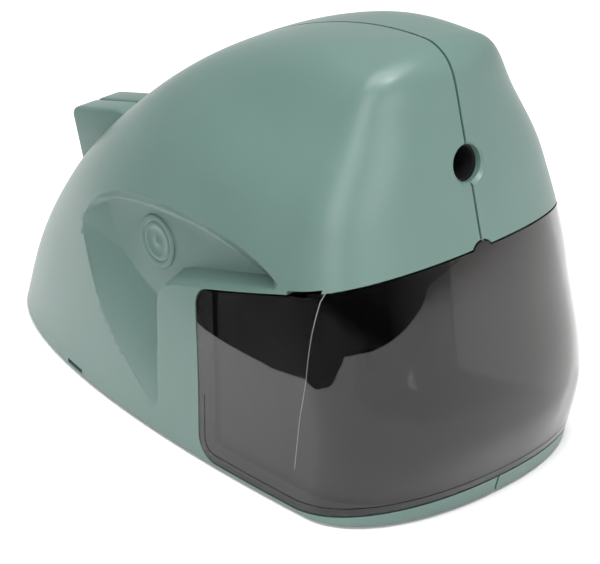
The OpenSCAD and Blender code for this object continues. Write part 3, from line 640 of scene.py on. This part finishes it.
class SHARPENER_OT_receptacle(bpy.types.Operator):
    """Builds the smoked receptacle with its finger tab, floor and fine mould lines"""
    bl_idname = "sharpener.receptacle"
    bl_label = "Shavings receptacle"

    def execute(self, context):
        wall, floor = 2.0, 7.3
        back = mm(sizes().bin_back) - mm(sizes().back_inset)
        shell = skin("receptacle")
        room = prism("room", side_outline(), -FAR, FAR)
        keep(shell, join(room, tab("tab")))
        hollow = skin("hollow", wall)
        keep(hollow, block("above_floor", (-FAR, -FAR, floor + 1.8), (FAR, back - wall, FAR)))
        lifted = prism("lifted", [(y + 5, z) for y, z in side_outline()], -FAR, FAR)
        cut(shell, keep(hollow, lifted))
        skirt = skin("skirt", wall)
        cut(shell, keep(skirt, block("below_floor", (-FAR, -FAR, -1), (FAR, FAR, floor))))
        under_back = skin("under_back", wall)
        cut(shell, keep(under_back, block("behind", (-FAR, back, -1), (FAR, FAR, floor))))
        room_behind = skin("room_behind", wall)
        cut(shell, keep(room_behind, block("past_wall", (-FAR, back, floor - 1), (FAR, FAR, FAR))))
        line = prism("line", side_outline(-2.0), -FAR, FAR)
        cut(line, prism("line_inside", side_outline(-2.25), -FAR, FAR))
        cut(line, block("line_above", (-FAR, -FAR, 20), (FAR, FAR, FAR)))
        cut(shell, cut(line, skin("line_floor", 0.3)))
        middle = [(-64.6, 63), (-63.75, 60.5), (-61.3, 39), (-58.7, 27), (-56.9, 13)]
        bead = prism("bead", middle + [(y + 0.17, z) for y, z in reversed(middle)], -FAR, FAR)
        join(shell, cut(keep(bead, skin("bead_top", -0.1)), skin("bead_foot", wall / 2)))
        shell.name = "receptacle"
        finish_piece(shell, "receptacle", "smoked", smoked("smoked_plastic", colours().smoked), "shavings_receptacle")
        calm_front(shell)
        # The mould-line bead is real and matte; its lighter grey is a painted highlight along the line.
        shell.data.materials.append(moulded("bead_painted_highlight", (0.2, 0.2, 0.2), 0.5, 1500, 0.01))
        for face in shell.data.polygons:
            x, y, z = face.center / MM
            if -66 < y < -56 and abs(x) > half_width_at(y, z) + 0.03:
                face.material_index = 1
        return {"FINISHED"}


class SHARPENER_OT_mechanism(bpy.types.Operator):
    """Gives the guide, chassis, gears, motor, switch, feet and screws their finishes"""
    bl_idname = "sharpener.mechanism"
    bl_label = "Mechanism and fittings"

    def execute(self, context):
        black = moulded("black_plastic", (0.012, 0.012, 0.013), 0.35, 1800, 0.015, 0.15)
        white = moulded("white_plastic", (0.66, 0.64, 0.56), 0.4, 1500, 0.01)
        red = moulded("red_plastic", (0.45, 0.05, 0.03), 0.35, 1500, 0.01)
        rubber = moulded("black_rubber", (0.016, 0.016, 0.016), 0.75, 1100, 0.05, 0.2)
        steel = metal("turned_steel", (0.58, 0.58, 0.6), 0.28, (1, 0.1, 1))
        tool_steel = metal("ground_tool_steel", (0.4, 0.41, 0.43), 0.3, (1, 4, 1))
        zinc = metal("die_cast_zinc", (0.45, 0.46, 0.48), 0.5, (1, 1, 1), 0.02)
        brass = metal("turned_brass", (0.7, 0.5, 0.2), 0.3, (1, 0.2, 1))
        sheet = metal("stacked_sheet", (0.26, 0.26, 0.28), 0.5, (0.05, 4, 0.05), 0.05)
        copper = metal("enamelled_copper", (0.6, 0.2, 0.07), 0.3, (4, 0.3, 0.3), 0.08)
        finishes = {
            black: ["pencil_guide", "chassis", "fan", "switch_body", "interlock_guide"],
            white: ["carrier_gear", "idler_gear", "coil_bobbin", "switch_lever"],
            red: ["interlock_plunger"],
            rubber: ["cord_gland", "rubber_feet", "foot_plugs"],
            steel: ["cutter_axle", "cutter_pinion", "idler_shaft", "motor_shaft", "motor_bolts",
                    "lever_pin", "interlock_spring", "housing_screws"],
            tool_steel: ["cutter"],
            zinc: ["ring_gear", "cutter_carrier", "front_bracket", "rear_bracket"],
            brass: ["motor_pinion", "motor_bushes"],
            sheet: ["rotor", "stator_core", "ballast"],
            copper: ["coil_winding"],
        }
        for finish, names in finishes.items():
            for name in names:
                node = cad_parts[name]
                for place in node.material_slots:
                    place.material = finish
                if not node.material_slots:
                    node.data.materials.append(finish)
        return {"FINISHED"}


def aim(thing, place, target):
    thing.location = Vector(place) * MM
    thing.rotation_euler = ((Vector(target) - Vector(place)) * MM).to_track_quat("-Z", "Y").to_euler()


def softbox(name, place, target, width, height, power, colour=(1, 1, 1)):
    light = bpy.data.lights.new(name, "AREA")
    light.shape = "RECTANGLE"
    light.size = width * MM
    light.size_y = height * MM
    light.energy = power
    light.color = colour
    thing = bpy.data.objects.new(name, light)
    bpy.context.collection.objects.link(thing)
    aim(thing, place, target)


class SHARPENER_OT_stage(bpy.types.Operator):
    """Sets the pale floor, the soft lights and the camera"""
    bl_idname = "sharpener.stage"
    bl_label = "Stage"

    def execute(self, context):
        scene = context.scene
        scene.view_settings.view_transform = "Standard"
        camera_data = bpy.data.cameras.new("camera")
        camera_data.lens = 210
        camera_data.sensor_width = 36
        camera = bpy.data.objects.new("camera", camera_data)
        scene.collection.objects.link(camera)
        aim(camera, (-560.8, -604.07, 433.51), (-5.56, -18.97, 37.93))
        scene.camera = camera

        pale, nodes, links, shader = material("pale_floor")
        shader.inputs["Base Color"].default_value = (0.93, 0.93, 0.93, 1)
        shader.inputs["Roughness"].default_value = 0.85
        sheet = [
            (-81, 3000), (-81, 35), (-83, 22), (-85, 12), (-87, 3), (-91, -9), (-99, -21), (-117, -48),
            (-128, -72), (-147, -111), (-158, -153), (-142, -213), (-96, -290), (-20, -440),
            (166, -850), (400, -1500), (800, -2600), (3000, -2600), (3000, 3000),
        ]
        floor = new_piece("floor", [(x, y, 0) for x, y in sheet], [range(len(sheet))])
        edge = 3000
        around = new_piece("floor_around", [(x, y, -0.02) for x, y in (
            (-edge, -edge), (edge, -edge), (edge, edge), (-edge, edge))], [range(4)])
        around.visible_glossy = False
        for piece in (floor, around):
            piece.data.materials.append(pale)

        softbox("top_light", (-150, -100, 900), (0, -10, 30), 900, 700, 9.5)
        softbox("key_light", (-137, -483, 926), (-17, -62, 110), 80, 80, 2.5)
        softbox("low_light", (-250, -900, 300), (0, -60, 10), 500, 160, 1.6)
        softbox("left_light", (-900, -450, 450), (0, 0, 50), 500, 600, 3.6)
        softbox("right_light", (800, -700, 600), (0, 0, 50), 500, 600, 0.5)

        world = bpy.data.worlds.new("studio")
        scene.world = world
        world.use_nodes = True
        nodes, links = world.node_tree.nodes, world.node_tree.links
        room = nodes["Background"]
        room.inputs["Color"].default_value = (1, 1, 1, 1)
        room.inputs["Strength"].default_value = 0.7
        dark = nodes.new("ShaderNodeBackground")
        dark.inputs["Color"].default_value = (0.05, 0.05, 0.05, 1)
        path = nodes.new("ShaderNodeLightPath")
        where = nodes.new("ShaderNodeTexCoord")
        towards_right = nodes.new("ShaderNodeVectorMath")
        towards_right.operation = "DOT_PRODUCT"
        towards_right.inputs[1].default_value = (0.985, 0.174, 0)
        front = nodes.new("ShaderNodeMapRange")
        front.inputs["From Min"].default_value = 0.7
        front.inputs["From Max"].default_value = -0.3
        unlit = nodes.new("ShaderNodeMath")
        unlit.operation = "MULTIPLY"
        mix = nodes.new("ShaderNodeMixShader")
        links.new(where.outputs["Generated"], towards_right.inputs[0])
        links.new(towards_right.outputs["Value"], front.inputs["Value"])
        links.new(front.outputs["Result"], unlit.inputs[0])
        links.new(path.outputs["Is Glossy Ray"], unlit.inputs[1])
        links.new(unlit.outputs[0], mix.inputs[0])
        links.new(room.outputs[0], mix.inputs[1])
        links.new(dark.outputs[0], mix.inputs[2])
        links.new(mix.outputs[0], nodes["World Output"].inputs["Surface"])
        return {"FINISHED"}


# ---- Properties and panel ----
def length(label, description, value):
    return bpy.props.FloatProperty(name=label, description=description, default=value * MM, unit="LENGTH",
                                   precision=4)


def angle(label, description, degrees):
    return bpy.props.FloatProperty(name=label, description=description, default=math.radians(degrees),
                                   unit="ROTATION")


def colour(label, description, value):
    return bpy.props.FloatVectorProperty(name=label, description=description, default=value, size=3,
                                         subtype="COLOR", min=0, max=1)


class SharpenerSizes(bpy.types.PropertyGroup):
    """Sizes of the shells"""
    wall: length("Housing wall", "Thickness of the housing's wall", 2.4)
    hole_drop: length("Hole drop", "Height of the crown above the middle of the pencil hole", 28)
    entry_tilt: angle("Entry tilt", "Downward tilt of the pencil going in", 12)
    entry_radius: length("Entry radius", "Radius of the opening for the pencil", 4.7)
    bin_back: length("Receptacle back", "Place along Y of the receptacle's back edge", -20.5)
    back_inset: length("Back inset", "Distance of the receptacle's back wall from its sides' back edge", 5.5)
    tab_drop: length("Tab drop", "Depth of the tab's middle below the top edge", 2.2)
    recess_turn: angle("Recess turn", "Turn of the recess's floor away from the length", 4.6)
    bin_top: length("Receptacle top", "Height of the receptacle's top edge at the front", 69.5)
    bin_top_slope: angle("Top slope", "Slope of the receptacle's top edge", 16.8)
    bin_corner: length("Receptacle corner", "Radius of the corners of the receptacle's side", 6)
    bin_gap: length("Receptacle gap", "Gap round the receptacle", 0.5)
    lip_height: length("Lip height", "Height of the lip under the receptacle's front", 6.7)
    lip_slope: angle("Lip slope", "Slope of the lip, and of the receptacle's slide", 8.4)
    tab_radius: length("Tab radius", "Radius of the finger tab on the receptacle", 3.4)
    recess_depth: length("Recess depth", "Depth of the recess's floor below the widest place", 10.2)


class SharpenerColours(bpy.types.PropertyGroup):
    """Colours of the shells"""
    housing: colour("Housing", "Colour of the housing's plastic", (0.088, 0.148, 0.130))
    smoked: colour("Smoked plastic", "Tint of the receptacle's plastic", (0.145, 0.139, 0.136))


class SHARPENER_PT_panel(bpy.types.Panel):
    """Lists the sizes, the colours and the steps"""
    bl_idname = "SHARPENER_PT_panel"
    bl_label = "Pencil sharpener"
    bl_space_type = "VIEW_3D"
    bl_region_type = "UI"
    bl_category = "Sharpener"

    def draw(self, context):
        for group in (context.scene.sharpener_sizes, context.scene.sharpener_colours):
            for name in group.__annotations__:
                self.layout.prop(group, name)
        for step in STEPS:
            self.layout.operator(step.bl_idname)


STEPS = [SHARPENER_OT_stage, SHARPENER_OT_housing, SHARPENER_OT_receptacle, SHARPENER_OT_mechanism]
CLASSES = [SharpenerSizes, SharpenerColours, *STEPS, SHARPENER_PT_panel]


def register():
    for kind in CLASSES:
        bpy.utils.register_class(kind)
    bpy.types.Scene.sharpener_sizes = bpy.props.PointerProperty(type=SharpenerSizes)
    bpy.types.Scene.sharpener_colours = bpy.props.PointerProperty(type=SharpenerColours)


def unregister():
    del bpy.types.Scene.sharpener_colours
    del bpy.types.Scene.sharpener_sizes
    for kind in reversed(CLASSES):
        bpy.utils.unregister_class(kind)


def main():
    register()
    bpy.ops.object.select_all(action="DESELECT")
    bpy.ops.sharpener.stage()
    bpy.ops.sharpener.housing()
    bpy.ops.sharpener.receptacle()
    bpy.ops.sharpener.mechanism()


if __name__ == "__main__":
    main()
